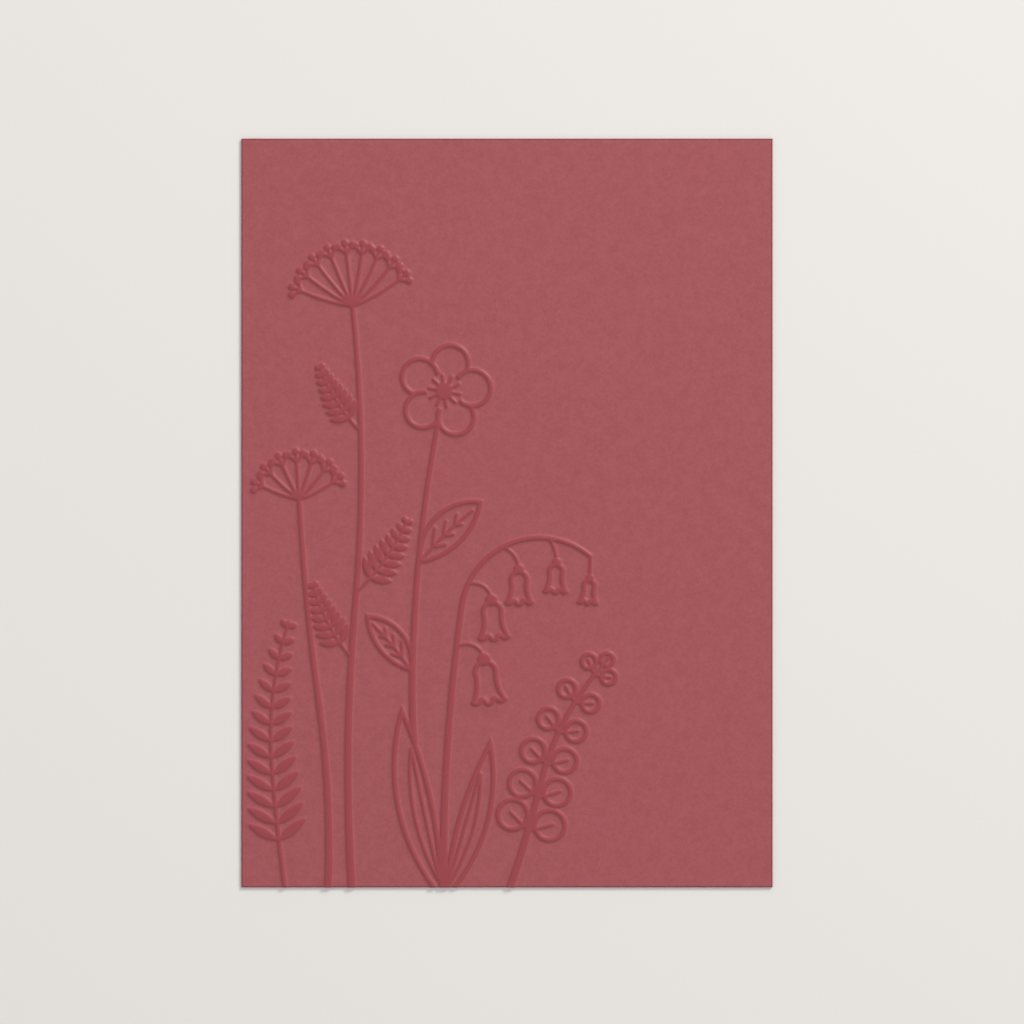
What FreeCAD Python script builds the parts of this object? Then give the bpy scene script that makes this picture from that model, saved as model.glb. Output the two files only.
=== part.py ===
import FreeCAD, Part
import math
import os

from FreeCAD import Vector

# A blind-embossed postcard: one flat sheet of heavy dyed board, cut square. A pair of dies has
# pressed a meadow of seven stalks up from the back, so that its lines stand proud of the front and
# are hollow behind. The card lies on its back: X runs along the short side, Y up the long side and
# Z out of the front, and the origin is the middle of the underside.

DIMENSIONS = [
    ("card_width", 105.0, "short side of the card"),
    ("card_height", 148.0, "long side of the card"),
    ("card_thickness", 0.45, "caliper of the board"),
    ("relief_height", 0.3, "how far the raised lines stand above the front"),
    ("die_clearance", 0.15, "how much narrower the hollow is than its line, on each side"),
    ("bleed", 3.0, "how far below the bottom edge the stalks start"),
    ("line_width", 0.9, "outline of a petal, bell or leaf"),
    ("vein_width", 0.6, "vein, stamen, ray or other fine line"),
    ("stalk_width", 1.5, "stalk at its foot"),
    ("stalk_tip_width", 0.85, "stalk at its tip"),
    ("umbel_foot", 22.0, "tall umbel's foot, from the left edge"),
    ("umbel_stalk", 118.0, "tall umbel's stalk"),
    ("small_umbel_foot", 17.0, "small umbel's foot, from the left edge"),
    ("small_umbel_stalk", 80.0, "small umbel's stalk"),
    ("umbel_ray", 10.5, "ray of the tall umbel"),
    ("small_umbel_ray", 7.4, "ray of the small umbel"),
    ("floret_stub", 2.1, "stub of a floret at a ray's end"),
    ("seed_diameter", 1.4, "seed at a stub's end"),
    ("blossom_foot", 39.0, "blossom's foot, from the left edge"),
    ("blossom_stalk", 102.0, "blossom's stalk"),
    ("petal_length", 9.6, "petal, from the middle of its blossom"),
    ("petal_width", 8.0, "petal at its widest"),
    ("eye_diameter", 3.4, "filled eye of a blossom"),
    ("stamen_length", 1.8, "stamen, from the edge of the eye"),
    ("bell_foot", 40.0, "bell plant's foot, from the left edge"),
    ("bell_stalk", 92.0, "bell plant's arched stalk"),
    ("bell_thread", 6.5, "thread that a bell hangs on"),
    ("bell_length", 8.2, "bell from crown to mouth"),
    ("bell_width", 6.8, "bell's mouth"),
    ("sprig_foot", 52.0, "round-leaf sprig's foot, from the left edge"),
    ("sprig_stalk", 50.0, "round-leaf sprig's stalk"),
    ("round_leaf", 6.8, "lowest leaf of the sprig, across"),
    ("fern_foot", 9.0, "fern's foot, from the left edge"),
    ("fern_stalk", 56.0, "fern's stalk"),
    ("leaflet_length", 7.0, "longest leaflet of the fern"),
    ("leaflet_width", 1.9, "leaflet at its widest"),
    ("side_frond", 19.0, "longest frond beside the tall umbel's stalk"),
    ("side_leaflet", 5.0, "its longest leaflet"),
    ("leaf_length", 19.0, "broad leaf of the blossom's stalk"),
    ("leaf_width", 8.0, "broad leaf at its widest"),
    ("strap_length", 40.0, "strap leaf at the bell plant's foot"),
    ("strap_width", 7.5, "strap leaf at its widest"),
]

doc = FreeCAD.newDocument("postcard")
sheet = doc.addObject("Spreadsheet::Sheet", "Dimensions")
for row, (alias, value, note) in enumerate(DIMENSIONS, start=1):
    sheet.set(f"A{row}", note)
    sheet.set(f"B{row}", str(value))
    sheet.setAlias(f"B{row}", alias)
doc.recompute()


def size(alias):
    """A driving dimension, read from the sheet."""
    return float(sheet.get(alias))


# ---- Plane geometry: everything is drawn on the XY plane, from the card's lower left corner ----


def reach(point, heading, distance):
    """The point at this distance from another, in the direction of heading (degrees from +X)."""
    angle = math.radians(heading)
    return point + Vector(math.cos(angle), math.sin(angle), 0) * distance


def travel(point, heading, length, turn):
    """Where an arc of this length ends that leaves point on heading and turns by turn degrees."""
    half_turn = math.radians(turn) / 2
    chord = length * math.sin(half_turn) / half_turn
    return reach(point, heading + turn / 2, chord), heading + turn


def station(path, share):
    """The point and heading at a share (0 to 1) of a path: a start, a heading and its arcs."""
    point, heading, runs = path
    left = share * sum(length for length, turn in runs)
    for length, turn in runs:
        if left <= length:
            break
        point, heading = travel(point, heading, length, turn)
        left -= length
    if left < 1e-6:
        return point, heading
    return travel(point, heading, left, turn * left / length)


def arc(first, middle, last):
    return Part.Arc(first, middle, last).toShape()


def face(edges):
    """The plane face inside a loop of edges, facing +Z."""
    wire = Part.Wire(edges)
    plane = Part.Face(wire)
    if plane.normalAt(0, 0).z < 0:
        wire.reverse()
        plane = Part.Face(wire)
    return plane


# Each shape below is drawn `inset` inside its true outline, all round.


def disc(centre, diameter, inset):
    return face([Part.Circle(centre, Vector(0, 0, 1), diameter / 2 - inset).toShape()])


def lens(base, tip, left, right, inset):
    """A leaf shape: two arcs from base to tip that bulge by left and right of the line between."""
    along = tip - base
    half_chord = along.Length / 2
    along.normalize()
    across = Vector(-along.y, along.x, 0)
    middle = (base + tip) / 2
    left_radius = (half_chord**2 + left**2) / (2 * left)
    right_radius = (half_chord**2 + right**2) / (2 * right)
    left_centre = left - left_radius
    right_centre = right_radius - right
    # The two inset circles cross at `offset` to the left of the middle, `half_length` either way.
    gap = right_centre - left_centre
    left_power = (left_radius - inset) ** 2 - left_centre**2
    right_power = (right_radius - inset) ** 2 - right_centre**2
    offset = (left_power - right_power) / (2 * gap)
    half_length = math.sqrt((left_radius - inset) ** 2 - (offset - left_centre) ** 2)
    crossing = middle + across * offset
    base = crossing - along * half_length
    tip = crossing + along * half_length
    right_edge = arc(base, middle - across * (right - inset), tip)
    left_edge = arc(tip, middle + across * (left - inset), base)
    return face([right_edge, left_edge])


def teardrop(base, heading, length, width, inset):
    """A petal shape: a round end of this width, with straight sides that meet at the base. Where
    the round end reaches the base by itself, there are no sides and the petal is a disc."""
    radius = width / 2
    centre = reach(base, heading, length - radius)
    if width >= length:
        return disc(centre, width, inset)
    half_angle = math.asin(radius / (length - radius))
    base = reach(base, heading, inset / math.sin(half_angle))
    radius -= inset
    side = radius / math.tan(half_angle)
    lean = math.degrees(half_angle)
    right = reach(base, heading - lean, side)
    left = reach(base, heading + lean, side)
    right_side = Part.LineSegment(base, right).toShape()
    left_side = Part.LineSegment(left, base).toShape()
    return face([right_side, arc(right, reach(centre, heading, radius), left), left_side])


def stroke(path, width, tip_width, inset):
    """A line of changing width along a path, with round ends."""
    point, heading, runs = path
    total = sum(length for length, turn in runs)
    half = width / 2 - inset
    foot_cap_middle = reach(point, heading, -half)
    left = [reach(point, heading + 90, half)]
    right = [reach(point, heading - 90, half)]
    left_edges = []
    right_edges = []
    travelled = 0.0
    for length, turn in runs:
        for part in (0.5, 1.0):
            share = (travelled + length * part) / total
            spot, way = station(path, share)
            half = (width + (tip_width - width) * share) / 2 - inset
            left.append(reach(spot, way + 90, half))
            right.append(reach(spot, way - 90, half))
        left_edges.insert(0, arc(*left[:-4:-1]))
        right_edges.append(arc(*right[-3:]))
        travelled += length
    tip_cap = arc(right[-1], reach(spot, way, half), left[-1])
    foot_cap = arc(left[0], foot_cap_middle, right[0])
    return face([*right_edges, tip_cap, *left_edges, foot_cap])


def bell_shape(crown, heading, length, width, inset):
    """A hanging bell: a domed shoulder, sides that flare, and a mouth of three scallops."""
    shoulder = width * 0.33
    waist = width * 0.35
    rim = width / 2
    lobe = width / 3

    def place(along, across):
        return reach(reach(crown, heading, along * length), heading + 90, across)

    bell = face(
        [
            arc(place(0.30, -shoulder), place(0.0, 0.0), place(0.30, shoulder)),
            arc(place(0.30, shoulder), place(0.66, waist), place(0.92, rim)),
            arc(place(0.92, rim), place(1.0, lobe), place(0.92, lobe / 2)),
            arc(place(0.92, lobe / 2), place(1.03, 0.0), place(0.92, -lobe / 2)),
            arc(place(0.92, -lobe / 2), place(1.0, -lobe), place(0.92, -rim)),
            arc(place(0.92, -rim), place(0.66, -waist), place(0.30, -shoulder)),
        ]
    )
    return bell.makeOffset2D(-inset) if inset else bell


# ---- The dies ----


class Die:
    """One die of the pair, as plane faces drawn `clearance` inside the raised lines' outlines."""

    def __init__(self, clearance):
        self.clearance = clearance
        self.marks = []

    def clear(self, region):
        """Takes away what lies behind a petal or leaf."""
        kept = []
        for mark in self.marks:
            if mark.BoundBox.intersect(region.BoundBox):
                kept.extend(mark.cut(region).Faces)
            else:
                kept.append(mark)
        self.marks = kept

    def artwork(self):
        """All the marks as one set of faces, with the seams between them taken out."""
        drawn = self.marks[0].multiFuse(self.marks[1:])
        return Part.Compound(Part.Shell(drawn.Faces).removeSplitter().Faces)


# The female die holds the raised lines' true outlines. The male one, which pushes the board up into
# it from the back, is narrower all round.
female_die = Die(0.0)
male_die = Die(size("die_clearance"))
dies = (female_die, male_die)


def press(shape, *sizes):
    """Presses a filled shape."""
    for die in dies:
        die.marks.append(shape(*sizes, die.clearance))


def press_outline(shape, *sizes):
    """Presses the outline of a petal, bell or leaf, in front of what was pressed before it."""
    for die in dies:
        outer = shape(*sizes, die.clearance)
        inner = shape(*sizes, size("line_width") - die.clearance)
        die.clear(outer)
        die.marks.extend(outer.cut(inner).Faces)


def press_line(point, heading, length, turn):
    """Presses one fine curved line, and returns where and on what heading it ends."""
    path = (point, heading, [(length, turn)])
    press(stroke, path, size("vein_width"), size("vein_width"))
    return station(path, 1.0)


def press_stalk(path):
    press(stroke, path, size("stalk_width"), size("stalk_tip_width"))


def foot_of(plant):
    return Vector(size(plant + "_foot"), -size("bleed"), 0)


def stalk_path(plant, heading, *bends):
    """A plant's stalk from its foot. Each bend is a share of the stalk's length and its turn."""
    length = size(plant + "_stalk")
    return foot_of(plant), heading, [(length * share, turn) for share, turn in bends]


# ---- Motifs. Angles are in degrees, and side is +1 on a stalk's left and -1 on its right ----


def press_umbel(path, ray_length, rays):
    """A stalk whose rays spread from one point. Each ray ends in a floret of three seeds."""
    fan = 150.0
    droop = 0.22
    stub_fan = 44.0
    stub_bend = 4.0
    press_stalk(path)
    top, heading = station(path, 1.0)
    for number in range(rays):
        lean = fan * (number / (rays - 1) - 0.5)
        tip, way = press_line(top, heading + lean, ray_length, 1.0 - droop * lean)
        for turned in (-stub_fan, 0.0, stub_fan):
            seed, last = press_line(tip, way + turned, size("floret_stub"), stub_bend)
            press(disc, seed, size("seed_diameter"))


def press_blossom(centre, heading):
    """A blossom of five round petals, seen from the front, with an eye and a ring of stamens."""
    petals = 5
    stamens = 10
    stamen_bend = 6.0
    eye = size("eye_diameter")
    stamen = size("stamen_length")
    stamen_root = eye * 0.4
    for number in range(petals):
        lean = heading + 360.0 / petals * number
        press_outline(teardrop, centre, lean, size("petal_length"), size("petal_width"))
    for die in dies:
        die.clear(disc(centre, eye + 2 * stamen, 0.0))
    press(disc, centre, eye)
    for number in range(stamens):
        lean = heading + 360.0 / stamens * (number + 0.5)
        press_line(reach(centre, lean, stamen_root), lean, stamen, stamen_bend)


def press_leaf(path, share, side, scale):
    """A broad leaf beside a stalk, fuller below than above, with a midrib and three pairs of veins,
    each pair shorter than the one before."""
    lean = 40.0
    share_below = 0.6
    midrib_share = 0.84
    midrib_bend = 14.0
    vein_lean = 42.0
    vein_bend = 12.0
    vein_share = 0.85
    veins_end = 1.25
    length = size("leaf_length") * scale
    width = size("leaf_width") * scale
    below = width * share_below
    above = width - below
    left, right = (above, below) if side > 0 else (below, above)
    base, heading = station(path, share)
    axis = heading + side * lean
    press_outline(lens, base, reach(base, axis, length), left, right)
    midrib = (base, axis - side * midrib_bend / 2, [(length * midrib_share, side * midrib_bend)])
    press(stroke, midrib, size("vein_width"), size("vein_width"))
    for along in (0.3, 0.5, 0.7):
        root, way = station(midrib, along)
        for turned, half in ((1, left), (-1, right)):
            vein = half * vein_share * (veins_end - along)
            press_line(root, way + turned * vein_lean, vein, -turned * vein_bend)


def press_frond(path, pairs, leaflet_length, width):
    """A stalk with pairs of filled leaflets that shrink towards its tip."""
    lowest = 0.22
    topmost = 0.98
    tip_share = 0.28
    taper = 1.4
    slimmest = 0.55
    leaflet_lean = 56.0
    press(stroke, path, width, size("vein_width"))
    for pair in range(pairs):
        along = pair / (pairs - 1)
        root, way = station(path, lowest + (topmost - lowest) * along)
        length = leaflet_length * (1.0 - (1.0 - tip_share) * along**taper)
        fullness = slimmest + (1.0 - slimmest) * length / size("leaflet_length")
        half = size("leaflet_width") / 2 * fullness
        for side in (-1, 1):
            press(lens, root, reach(root, way + side * leaflet_lean, length), half, half)


def press_bell(path, share, hang, scale):
    """A bell that hangs on the right of a stalk by an arched thread, with a filled cap."""
    thread_lean = 48.0
    cap_share = 0.34
    root, way = station(path, share)
    start = way - thread_lean
    crown, drop = press_line(root, start, size("bell_thread") * scale, hang - start)
    press_outline(bell_shape, crown, drop, size("bell_length") * scale, size("bell_width") * scale)
    press(disc, crown, size("bell_width") * cap_share * scale)


def press_round_leaf(point, heading, diameter):
    """A round leaf on a short stem that runs on as its vein."""
    stem = 1.0
    bend = 6.0
    vein_share = 0.6
    press_outline(disc, reach(point, heading, stem + diameter / 2), diameter)
    press_line(point, heading - bend / 2, stem + diameter * vein_share, bend)


def press_strap_leaf(foot, heading, bow, scale):
    """A long leaf from the ground that bows to the left of its line, with two veins along it."""
    vein_spread = 0.36
    vein_lean = 1.5
    vein_start = 0.12
    vein_share = 0.66
    length = size("strap_length") * scale
    half = size("strap_width") / 2 * scale
    press_outline(lens, foot, reach(foot, heading, length), half + bow, half - bow)
    for side in (-1, 1):
        vein_bow = bow + side * half * vein_spread
        turn = -math.degrees(8 * vein_bow / length)
        start = reach(foot, heading + side * vein_lean, length * vein_start)
        press_line(start, heading - turn / 2, length * vein_share, turn)


# ---- The meadow, from back to front. A stalk's bends are shares of its length and their turns, and
# a place on a stalk is a share of its length too ----

fern = stalk_path("fern", 98.0, (0.5, -4.0), (0.5, -22.0))
press_frond(fern, 14, size("leaflet_length"), size("stalk_tip_width"))

small_umbel = stalk_path("small_umbel", 87.0, (0.5, 11.0), (0.5, -5.0))
press_umbel(small_umbel, size("small_umbel_ray"), 7)

umbel = stalk_path("umbel", 94.0, (0.5, -9.0), (0.5, 11.0))
press_umbel(umbel, size("umbel_ray"), 9)
frond_lean = 42.0
frond_bend = 22.0
for share, side, scale in ((0.41, 1, 0.86), (0.52, -1, 0.92), (0.79, 1, 0.8)):
    root, way = station(umbel, share)
    frond = (root, way + side * frond_lean, [(size("side_frond") * scale, -side * frond_bend)])
    press_frond(frond, 8, size("side_leaflet") * scale, size("vein_width"))

blossom = stalk_path("blossom", 104.0, (0.45, -15.0), (0.55, -11.0))
press_stalk(blossom)
press_leaf(blossom, 0.45, 1, 0.78)
press_leaf(blossom, 0.66, -1, 0.95)
press_blossom(*station(blossom, 1.0))

sprig = stalk_path("sprig", 70.0, (0.5, 6.0), (0.5, -26.0))
press_stalk(sprig)
lowest_pair = 0.3
pair_spacing = 0.135
round_leaf_lean = 60.0
shrink_per_pair = 0.09
end_leaf_scale = 0.5
for pair in range(6):
    root, way = station(sprig, lowest_pair + pair_spacing * pair)
    across = size("round_leaf") * (1.0 - shrink_per_pair * pair)
    for side in (-1, 1):
        press_round_leaf(root, way + side * round_leaf_lean, across)
press_round_leaf(*station(sprig, 1.0), size("round_leaf") * end_leaf_scale)

bells = stalk_path("bell", 91.0, (0.64, -9.0), (0.36, -122.0))
press_stalk(bells)
bell_count = 5
lowest_bell = 0.55
bell_spread = 0.85
lowest_hang = -83.0
hang_step = 3.0
lowest_scale = 1.1
scale_step = 0.11
for number in range(bell_count):
    along = (number / (bell_count - 1)) ** bell_spread
    share = lowest_bell + (1.0 - lowest_bell) * along
    hang = lowest_hang - hang_step * number
    press_bell(bells, share, hang, lowest_scale - scale_step * number)
press_strap_leaf(foot_of("bell"), 102.0, 1.6, 1.0)
press_strap_leaf(foot_of("bell"), 74.0, -1.2, 0.85)

# ---- The artwork: each die's marks as plane faces, placed on the card's underside ----


def artwork_of(die, name):
    feature = doc.addObject("Part::Feature", name)
    feature.Shape = die.artwork()
    feature.setExpression("Placement.Base.x", "-Dimensions.card_width / 2")
    feature.setExpression("Placement.Base.y", "-Dimensions.card_height / 2")
    return feature


female_artwork = artwork_of(female_die, "female_artwork")
male_artwork = artwork_of(male_die, "male_artwork")

# ---- The sheet, the raised relief and the hollow behind it ----


def card_block(name, height_formula):
    block = doc.addObject("Part::Box", name)
    block.setExpression("Length", "Dimensions.card_width")
    block.setExpression("Width", "Dimensions.card_height")
    block.setExpression("Height", height_formula)
    block.setExpression("Placement.Base.x", "-Dimensions.card_width / 2")
    block.setExpression("Placement.Base.y", "-Dimensions.card_height / 2")
    return block


def pressed_up(name, outline, height_formula):
    feature = doc.addObject("Part::Extrusion", name)
    feature.Base = outline
    feature.DirMode = "Custom"
    feature.Dir = Vector(0, 0, 1)
    feature.Solid = True
    feature.setExpression("LengthFwd", height_formula)
    return feature


blank = card_block("blank", "Dimensions.card_thickness")
trim = card_block("trim", "Dimensions.card_thickness + Dimensions.relief_height")

relief = pressed_up("relief", female_artwork, "Dimensions.card_thickness + Dimensions.relief_height")
hollow = pressed_up("hollow", male_artwork, "Dimensions.relief_height")

trimmed_relief = doc.addObject("Part::Common", "trimmed_relief")
trimmed_relief.Base = relief
trimmed_relief.Tool = trim

raised_sheet = doc.addObject("Part::Fuse", "raised_sheet")
raised_sheet.Base = blank
raised_sheet.Tool = trimmed_relief
raised_sheet.Refine = True

postcard = doc.addObject("Part::Cut", "postcard")
postcard.Base = raised_sheet
postcard.Tool = hollow
postcard.Label = "postcard"

doc.recompute()

for item in doc.Objects:
    if "Invalid" in item.State or "Error" in item.State:
        raise RuntimeError(f"{item.Name} failed: {item.State}")

sub_parts = [postcard]
for part in sub_parts:
    if part.Shape.isNull() or not part.Shape.isValid():
        raise RuntimeError(f"{part.Label} has no valid shape")

os.makedirs("parts", exist_ok=True)
for part in sub_parts:
    part.Shape.exportStep(os.path.join("parts", part.Label + ".step"))
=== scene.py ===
import math

import bmesh
import bpy
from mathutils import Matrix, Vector
from mathutils.bvhtree import BVHTree


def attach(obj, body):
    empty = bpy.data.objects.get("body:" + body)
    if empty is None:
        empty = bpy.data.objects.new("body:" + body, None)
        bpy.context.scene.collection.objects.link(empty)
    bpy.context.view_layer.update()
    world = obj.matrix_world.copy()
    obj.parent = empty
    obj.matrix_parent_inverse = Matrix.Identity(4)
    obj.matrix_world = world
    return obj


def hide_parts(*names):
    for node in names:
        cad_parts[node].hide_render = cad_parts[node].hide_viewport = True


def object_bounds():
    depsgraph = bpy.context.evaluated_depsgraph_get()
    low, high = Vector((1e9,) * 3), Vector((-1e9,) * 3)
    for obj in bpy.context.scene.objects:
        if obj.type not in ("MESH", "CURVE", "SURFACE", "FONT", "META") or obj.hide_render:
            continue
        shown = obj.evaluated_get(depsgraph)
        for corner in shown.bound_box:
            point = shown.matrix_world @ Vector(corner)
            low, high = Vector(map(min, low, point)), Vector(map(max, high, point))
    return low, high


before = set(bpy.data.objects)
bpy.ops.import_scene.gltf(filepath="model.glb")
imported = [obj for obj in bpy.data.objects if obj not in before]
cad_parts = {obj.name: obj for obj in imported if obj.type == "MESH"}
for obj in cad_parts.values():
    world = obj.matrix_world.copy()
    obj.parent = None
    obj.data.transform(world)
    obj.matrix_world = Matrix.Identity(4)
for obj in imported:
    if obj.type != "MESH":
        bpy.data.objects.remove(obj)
cad_low, cad_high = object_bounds()


# ---- The postcard -------------------------------------------------------------------------------
# One A6 sheet of heavy board, dyed through and cut square, with a meadow blind-embossed on its left
# side by a pair of etched brass dies. It is loose, and lies face up: X runs along its short side, Y
# up its long side and Z out of its front.

MM = 0.001
BOARD = 0.45 * MM
RELIEF = cad_high.z - BOARD
HALF_WIDTH = cad_high.x
HALF_HEIGHT = cad_high.y
ABOVE = Vector((0, 0, 10 * MM))

cad_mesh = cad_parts["postcard"].data
cad_corners = [vertex.co.copy() for vertex in cad_mesh.vertices]
cad_card = BVHTree.FromPolygons(cad_corners, [tuple(face.vertices) for face in cad_mesh.polygons])


# The female die's recess has the raised lines' true outlines. The male die, which pushes the board
# up into it from behind, is a little narrower all round. The CAD node keeps both outlines as its
# upright walls, above its front face and inside its back.
class Die:
    """One die's outline, read from the walls between two heights of the card."""

    def __init__(self, lowest, highest, pressed_level, looked_at_from):
        # Shares of a normal's length and of the card's half size.
        upright_below = 0.5
        cut_edge_from = 0.999
        walls = []
        for face in cad_mesh.polygons:
            centre = face.center
            is_upright = abs(face.normal.z) < upright_below and lowest < centre.z < highest
            across = abs(centre.x) / HALF_WIDTH
            along = abs(centre.y) / HALF_HEIGHT
            is_cut_edge = max(across, along) > cut_edge_from
            if is_upright and not is_cut_edge:
                walls.append(tuple(face.vertices))
        self.walls = BVHTree.FromPolygons(cad_corners, walls)
        self.height = (lowest + highest) / 2
        self.pressed_level = pressed_level
        self.eye = looked_at_from

    def inside(self, x, y):
        """How far a point of the card lies inside the outline, or outside it where negative."""
        _, _, _, distance = self.walls.find_nearest(Vector((x, y, self.height)))
        seen, _, _, _ = cad_card.ray_cast(Vector((x, y, 0)) + self.eye, -self.eye)
        is_pressed = seen is not None and abs(seen.z - self.pressed_level) < RELIEF / 2
        return distance if is_pressed else -distance


female_die = Die(BOARD, cad_high.z, cad_high.z, ABOVE)
male_die = Die(0, RELIEF, RELIEF, -ABOVE)

# Long-fibred board bends over the dies' edges in soft shoulders, alike on both faces, so that it
# stays about as thick in them. Each face is a net of squares, halved over and over near the lines:
# within a margin of their outlines, and most of a cell further out in the earlier rounds.
HALVINGS = 4
LINE_MARGIN = 0.35 * MM
RING_CELLS = 0.9
STRAIGHT = math.radians(170)

# The guillotine rolled the rims of both faces over a little.
RIM_WIDTH = 0.22 * MM
RIM_DROP = 0.08 * MM
RIM_STEPS = 3


def pressed_face(die, coarse_cell, spread, rise):
    """One face of the sheet, flat at z 0, with its lines pushed up. Their shoulders start `spread`
    outside the die's outline and end `rise` inside it. `pressed` is a point's share of the height."""
    face_net = bmesh.new()
    half_size = Vector((HALF_WIDTH - RIM_WIDTH, HALF_HEIGHT - RIM_WIDTH, 1))
    columns = round(2 * half_size.x / coarse_cell)
    rows = round(2 * half_size.y / coarse_cell)
    bmesh.ops.create_grid(face_net, x_segments=columns, y_segments=rows, size=1)
    bmesh.ops.scale(face_net, vec=half_size, verts=face_net.verts)
    finest_cell = coarse_cell / 2**HALVINGS
    for halving in range(HALVINGS):
        # Each halving leaves a ring of whole cells round the next one.
        cell = coarse_cell / 2**halving
        ring = LINE_MARGIN + RING_CELLS * (cell - 2 * finest_cell)
        for square in face_net.faces:
            centre = square.calc_center_median()
            square.tag = abs(die.inside(centre.x, centre.y)) < ring
        near_lines = [edge for edge in face_net.edges if any(side.tag for side in edge.link_faces)]
        bmesh.ops.subdivide_edges(face_net, edges=near_lines, cuts=1, use_grid_fill=True)
    for point in face_net.verts:
        share = (die.inside(point.co.x, point.co.y) + spread) / (spread + rise)
        share = min(max(share, 0.0), 1.0)
        smooth_share = share * share * (3 - 2 * share)
        point.co.z = RELIEF * smooth_share
    bmesh.ops.smooth_vert(face_net, verts=face_net.verts, factor=0.5, use_axis_z=True)
    pressed = face_net.verts.layers.float.new("pressed")
    for point in face_net.verts:
        point[pressed] = point.co.z / RELIEF
    # A patch beside smaller ones has their points on its straight sides, so it is split to take them.
    uneven = []
    for patch in face_net.faces:
        if len(patch.verts) > 4 or max(corner.calc_angle() for corner in patch.loops) > STRAIGHT:
            uneven.append(patch)
    bmesh.ops.triangulate(face_net, faces=uneven)
    return face_net


def mark_as_cut(made):
    """Gives the faces among what an operator made the cut edge's material."""
    for part in made:
        if isinstance(part, bmesh.types.BMFace):
            part.material_index = 1


def roll_rim(face_net, downwards):
    """Turns the rim of a face over in a flat quarter round, and marks it as cut."""
    width, height = HALF_WIDTH - RIM_WIDTH, HALF_HEIGHT - RIM_WIDTH
    before = 0.0
    for step in range(1, RIM_STEPS + 1):
        angle = math.pi / 2 * step / RIM_STEPS
        out = RIM_WIDTH * (math.sin(angle) - math.sin(before))
        drop = RIM_DROP * (math.cos(before) - math.cos(angle)) * downwards
        rim = [edge for edge in face_net.edges if edge.is_boundary]
        made = bmesh.ops.extrude_edge_only(face_net, edges=rim)["geom"]
        moved = [part for part in made if isinstance(part, bmesh.types.BMVert)]
        mark_as_cut(made)
        bmesh.ops.scale(face_net, vec=((width + out) / width, (height + out) / height, 1), verts=moved)
        bmesh.ops.translate(face_net, vec=(0, 0, -drop), verts=moved)
        width += out
        height += out
        before = angle


front = pressed_face(female_die, coarse_cell=3.6 * MM, spread=0.2 * MM, rise=0.2 * MM)
bmesh.ops.translate(front, vec=(0, 0, BOARD), verts=front.verts)
roll_rim(front, 1)

# The male die is narrower than the lines, so the same shoulders lie further outside its outline.
back = pressed_face(male_die, coarse_cell=4.8 * MM, spread=0.3 * MM, rise=0.1 * MM)
roll_rim(back, -1)

card = bmesh.new()
for face_net in (front, back):
    joined = bpy.data.meshes.new("face")
    face_net.to_mesh(joined)
    card.from_mesh(joined)
    bpy.data.meshes.remove(joined)
    face_net.free()

# The four cut edges close the sheet: each is a plane fill between the two rims. A point this near
# a side lies on it.
TOUCHING = 0.01 * MM
rims = [edge for edge in card.edges if edge.is_boundary]
corner_points = {}
for point in card.verts:
    is_corner = abs(point.co.x) > HALF_WIDTH - TOUCHING and abs(point.co.y) > HALF_HEIGHT - TOUCHING
    if is_corner and point.is_boundary:
        corner_points.setdefault((point.co.x > 0, point.co.y > 0), []).append(point)
uprights = [card.edges.new(tuple(pair)) for pair in corner_points.values()]
for axis, half in ((0, HALF_WIDTH), (1, HALF_HEIGHT)):
    for side in (-1, 1):
        outline = []
        for edge in rims + uprights:
            if all(abs(point.co[axis] - side * half) < TOUCHING for point in edge.verts):
                outline.append(edge)
        normal = Vector((0, 0, 0))
        normal[axis] = side
        filled = bmesh.ops.triangle_fill(card, edges=outline, use_beauty=True, normal=normal)
        mark_as_cut(filled["geom"])
bmesh.ops.recalc_face_normals(card, faces=card.faces)

# The shading breaks where the cut begins, and at any crease.
CREASE = math.radians(40)
for patch in card.faces:
    patch.smooth = True
for edge in card.edges:
    materials = {patch.material_index for patch in edge.link_faces}
    edge.smooth = len(materials) == 1 and edge.calc_face_angle(0) < CREASE

sheet_mesh = bpy.data.meshes.new("postcard_sheet")
card.to_mesh(sheet_mesh)
card.free()
sheet = bpy.data.objects.new("postcard_sheet", sheet_mesh)
bpy.context.scene.collection.objects.link(sheet)
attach(sheet, "root")
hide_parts("postcard")


def linear(hex_colour):
    """An sRGB hex colour as the linear RGBA that shaders take."""
    channels = []
    for start in (1, 3, 5):
        value = int(hex_colour[start : start + 2], 16) / 255
        channels.append(value / 12.92 if value <= 0.04045 else ((value + 0.055) / 1.055) ** 2.4)
    return (*channels, 1.0)


def new_material(name):
    material = bpy.data.materials.new(name)
    material.use_nodes = True
    material.node_tree.nodes.clear()
    return material, material.node_tree


def add_node(tree, kind, sockets=None, **settings):
    """Adds a node with its settings. Each socket takes a value, or the output that feeds it."""
    added = tree.nodes.new("ShaderNode" + kind)
    for name, value in settings.items():
        setattr(added, name, value)
    for name, value in (sockets or {}).items():
        if isinstance(value, bpy.types.NodeSocket):
            tree.links.new(value, added.inputs[name])
        else:
            added.inputs[name].default_value = value
    return added


# A Mix node has a set of sockets for each kind of value. These are its inputs for two colours, and
# its outputs for a mixed number and a mixed colour.
MIX, FIRST, SECOND = 0, 6, 7
MIXED_NUMBER, MIXED_COLOUR = 0, 2

# Uncoated felt-marked board, dyed in the pulp. Its formation shows as a faint cloudiness and its
# surface has a fine dry tooth. The dies polish the lines and their shoulders, which catch the light
# a little, and flatten the fibres there, which makes the lines a shade deeper and redder.
board, tree = new_material("dyed_uncoated_board")
place = add_node(tree, "TexCoord").outputs["Object"]
pressed = add_node(tree, "Attribute", attribute_name="pressed").outputs["Fac"]

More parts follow.
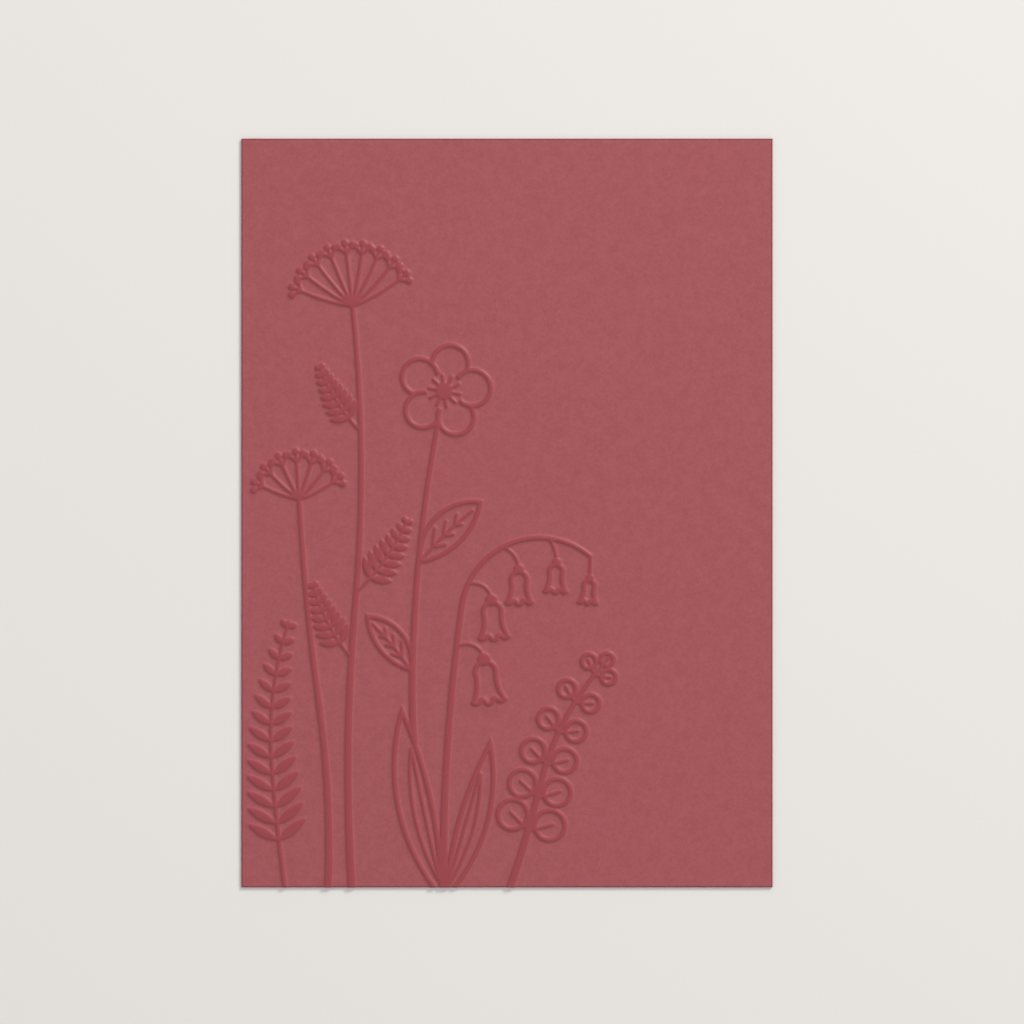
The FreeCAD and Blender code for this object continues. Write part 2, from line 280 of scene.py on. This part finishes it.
# The fibres lie flatter from just above a line's foot to most of its height.
flattened = add_node(
    tree,
    "MapRange",
    {"Value": pressed, "From Min": 0.15, "From Max": 0.7},
    interpolation_type="SMOOTHSTEP",
)

# Single fibres are too fine to show. The felt's marks, which give the tooth, are 0.28 mm across,
# fibres clump to 0.8 mm and the formation clouds to 2.5 mm.
TOOTH_SIZE = 0.28 * MM
TOOTH_DEPTH = 0.012 * MM
CLUMP_SIZE = 0.8 * MM
CLUMP_SHARE = 0.33
CLOUD_SIZE = 2.5 * MM
CLOUD_SHARE = 0.2
tooth = add_node(tree, "TexNoise", {"Vector": place, "Scale": 1 / TOOTH_SIZE, "Detail": 1.0})
clumps = add_node(tree, "TexNoise", {"Vector": place, "Scale": 1 / CLUMP_SIZE, "Detail": 0.0})
clouds = add_node(tree, "TexNoise", {"Vector": place, "Scale": 1 / CLOUD_SIZE, "Detail": 0.0})
clumped = add_node(
    tree,
    "Mix",
    {"Factor": CLUMP_SHARE, "A": tooth.outputs["Fac"], "B": clumps.outputs["Fac"]},
    data_type="FLOAT",
)
clouded = add_node(
    tree,
    "Mix",
    {"Factor": CLOUD_SHARE, "A": clumped.outputs[MIXED_NUMBER], "B": clouds.outputs["Fac"]},
    data_type="FLOAT",
)

# Noise seldom leaves the middle of its range, so that middle is stretched over both colours.
grain = add_node(
    tree, "MapRange", {"Value": clouded.outputs[MIXED_NUMBER], "From Min": 0.35, "From Max": 0.65}
)
sheet_colour = add_node(
    tree,
    "Mix",
    {MIX: grain.outputs["Result"], FIRST: linear("#9E4F53"), SECOND: linear("#A6575B")},
    data_type="RGBA",
)
board_colour = add_node(
    tree,
    "Mix",
    {
        MIX: flattened.outputs["Result"],
        FIRST: sheet_colour.outputs[MIXED_COLOUR],
        SECOND: linear("#9A4248"),
    },
    data_type="RGBA",
)

# The polish is full from a third of the lines' height up, and the tooth fades towards their tops.
DRY_ROUGHNESS = 0.72
POLISHED_ROUGHNESS = 0.44
roughness = add_node(
    tree,
    "MapRange",
    {"Value": pressed, "From Max": 0.35, "To Min": DRY_ROUGHNESS, "To Max": POLISHED_ROUGHNESS},
)
bump_strength = add_node(tree, "MapRange", {"Value": pressed, "To Min": 1.0, "To Max": 0.4})
bump = add_node(
    tree,
    "Bump",
    {
        "Height": tooth.outputs["Fac"],
        "Strength": bump_strength.outputs["Result"],
        "Distance": TOOTH_DEPTH,
    },
)
shader = add_node(
    tree,
    "BsdfPrincipled",
    {
        "Base Color": board_colour.outputs[MIXED_COLOUR],
        "Roughness": roughness.outputs["Result"],
        "Normal": bump.outputs["Normal"],
        "IOR": 1.5,
        "Specular IOR Level": 0.3,
    },
)
add_node(tree, "OutputMaterial", {"Surface": shader.outputs["BSDF"]})
sheet_mesh.materials.append(board)

# The cut edge is the same board end on: dense and a little darker, with plies 0.07 mm thick that the
# blade drew out 1.2 mm along the sheet. It has also burnished the rolled rims.
PLY_LENGTH = 1.2 * MM
PLY_THICKNESS = 0.07 * MM
PLY_DEPTH = 0.02 * MM
cut_edge, tree = new_material("guillotined_edge")
place = add_node(tree, "TexCoord").outputs["Object"]
plies = add_node(
    tree, "Mapping", {"Vector": place, "Scale": (1 / PLY_LENGTH, 1 / PLY_LENGTH, 1 / PLY_THICKNESS)}
)
strata = add_node(tree, "TexNoise", {"Vector": plies.outputs["Vector"], "Scale": 1.0, "Detail": 2.0})
strata_share = add_node(
    tree, "MapRange", {"Value": strata.outputs["Fac"], "From Min": 0.3, "From Max": 0.7}
)
edge_colour = add_node(
    tree,
    "Mix",
    {MIX: strata_share.outputs["Result"], FIRST: linear("#80353C"), SECOND: linear("#8C3E45")},
    data_type="RGBA",
)
bump = add_node(tree, "Bump", {"Height": strata.outputs["Fac"], "Distance": PLY_DEPTH})
shader = add_node(
    tree,
    "BsdfPrincipled",
    {
        "Base Color": edge_colour.outputs[MIXED_COLOUR],
        "Roughness": 0.95,
        "Normal": bump.outputs["Normal"],
        "Specular IOR Level": 0.2,
    },
)
add_node(tree, "OutputMaterial", {"Surface": shader.outputs["BSDF"]})
sheet_mesh.materials.append(cut_edge)


# ---- The studio ---------------------------------------------------------------------------------
# The card lies on a pale matt floor. One soft lamp stands low beyond its top right corner and
# models the relief, and an even white room fills the rest. Together they light a flat sheet so
# that it renders in the colour it is written in.

# The floor is a hair under the card, so that the two never share a plane.
FLOOR_HALF_SIZE = 2.0
FLOOR_GAP = 0.02 * MM
floor_net = bmesh.new()
bmesh.ops.create_grid(floor_net, x_segments=1, y_segments=1, size=FLOOR_HALF_SIZE)
bmesh.ops.translate(floor_net, vec=(0, 0, -FLOOR_GAP), verts=floor_net.verts)
floor_mesh = bpy.data.meshes.new("floor")
floor_net.to_mesh(floor_mesh)
floor_net.free()
floor = bpy.data.objects.new("floor", floor_mesh)
bpy.context.scene.collection.objects.link(floor)

FLOOR_COLOUR = linear("#E9E5E1")
matt_paint, tree = new_material("matt_floor_paint")
shader = add_node(
    tree, "BsdfPrincipled", {"Base Color": FLOOR_COLOUR, "Roughness": 0.9, "Specular IOR Level": 0.1}
)
add_node(tree, "OutputMaterial", {"Surface": shader.outputs["BSDF"]})
floor_mesh.materials.append(matt_paint)

# The lamp gives this share of the light on a flat sheet, and the room gives the rest.
KEY_SHARE = 0.34
KEY_DISTANCE = 1.7
KEY_ELEVATION = math.radians(28)
KEY_AZIMUTH = math.radians(52)

lamp = bpy.data.lights.new("soft_key", "AREA")
lamp.shape = "DISK"
lamp.size = 0.5
lamp.energy = KEY_SHARE * (math.pi * KEY_DISTANCE) ** 2 / math.sin(KEY_ELEVATION)
key = bpy.data.objects.new("soft_key", lamp)
bpy.context.scene.collection.objects.link(key)
towards_key = Vector(
    (
        math.cos(KEY_ELEVATION) * math.cos(KEY_AZIMUTH),
        math.cos(KEY_ELEVATION) * math.sin(KEY_AZIMUTH),
        math.sin(KEY_ELEVATION),
    )
)
key.location = towards_key * KEY_DISTANCE
key.rotation_euler = towards_key.to_track_quat("Z", "Y").to_euler()

# The room is white to the card, and past the floor's end the camera sees the floor's own colour.
room = bpy.data.worlds.new("white_room")
bpy.context.scene.world = room
room.use_nodes = True
tree = room.node_tree
tree.nodes.clear()
fill = add_node(tree, "Background", {"Color": (1, 1, 1, 1), "Strength": 1 - KEY_SHARE})
backdrop = add_node(tree, "Background", {"Color": FLOOR_COLOUR, "Strength": 1.0})
rays = add_node(tree, "LightPath")
shown = add_node(
    tree, "MixShader", {0: rays.outputs["Is Camera Ray"], 1: fill.outputs[0], 2: backdrop.outputs[0]}
)
add_node(tree, "OutputWorld", {"Surface": shown.outputs[0]})

# The camera looks straight down, from as far as a view this wide needs.
VIEW_WIDTH = 202.4 * MM
VIEW_CENTRE = (1.0 * MM, 0.2 * MM)
camera_data = bpy.data.cameras.new("camera")
camera_data.lens = 85
camera_data.sensor_width = 36
camera_data.clip_start = 0.01
camera = bpy.data.objects.new("camera", camera_data)
bpy.context.scene.collection.objects.link(camera)
view_distance = VIEW_WIDTH * camera_data.lens / camera_data.sensor_width
camera.location = (*VIEW_CENTRE, BOARD + view_distance)
bpy.context.scene.camera = camera
bpy.context.scene.view_settings.view_transform = "Standard"
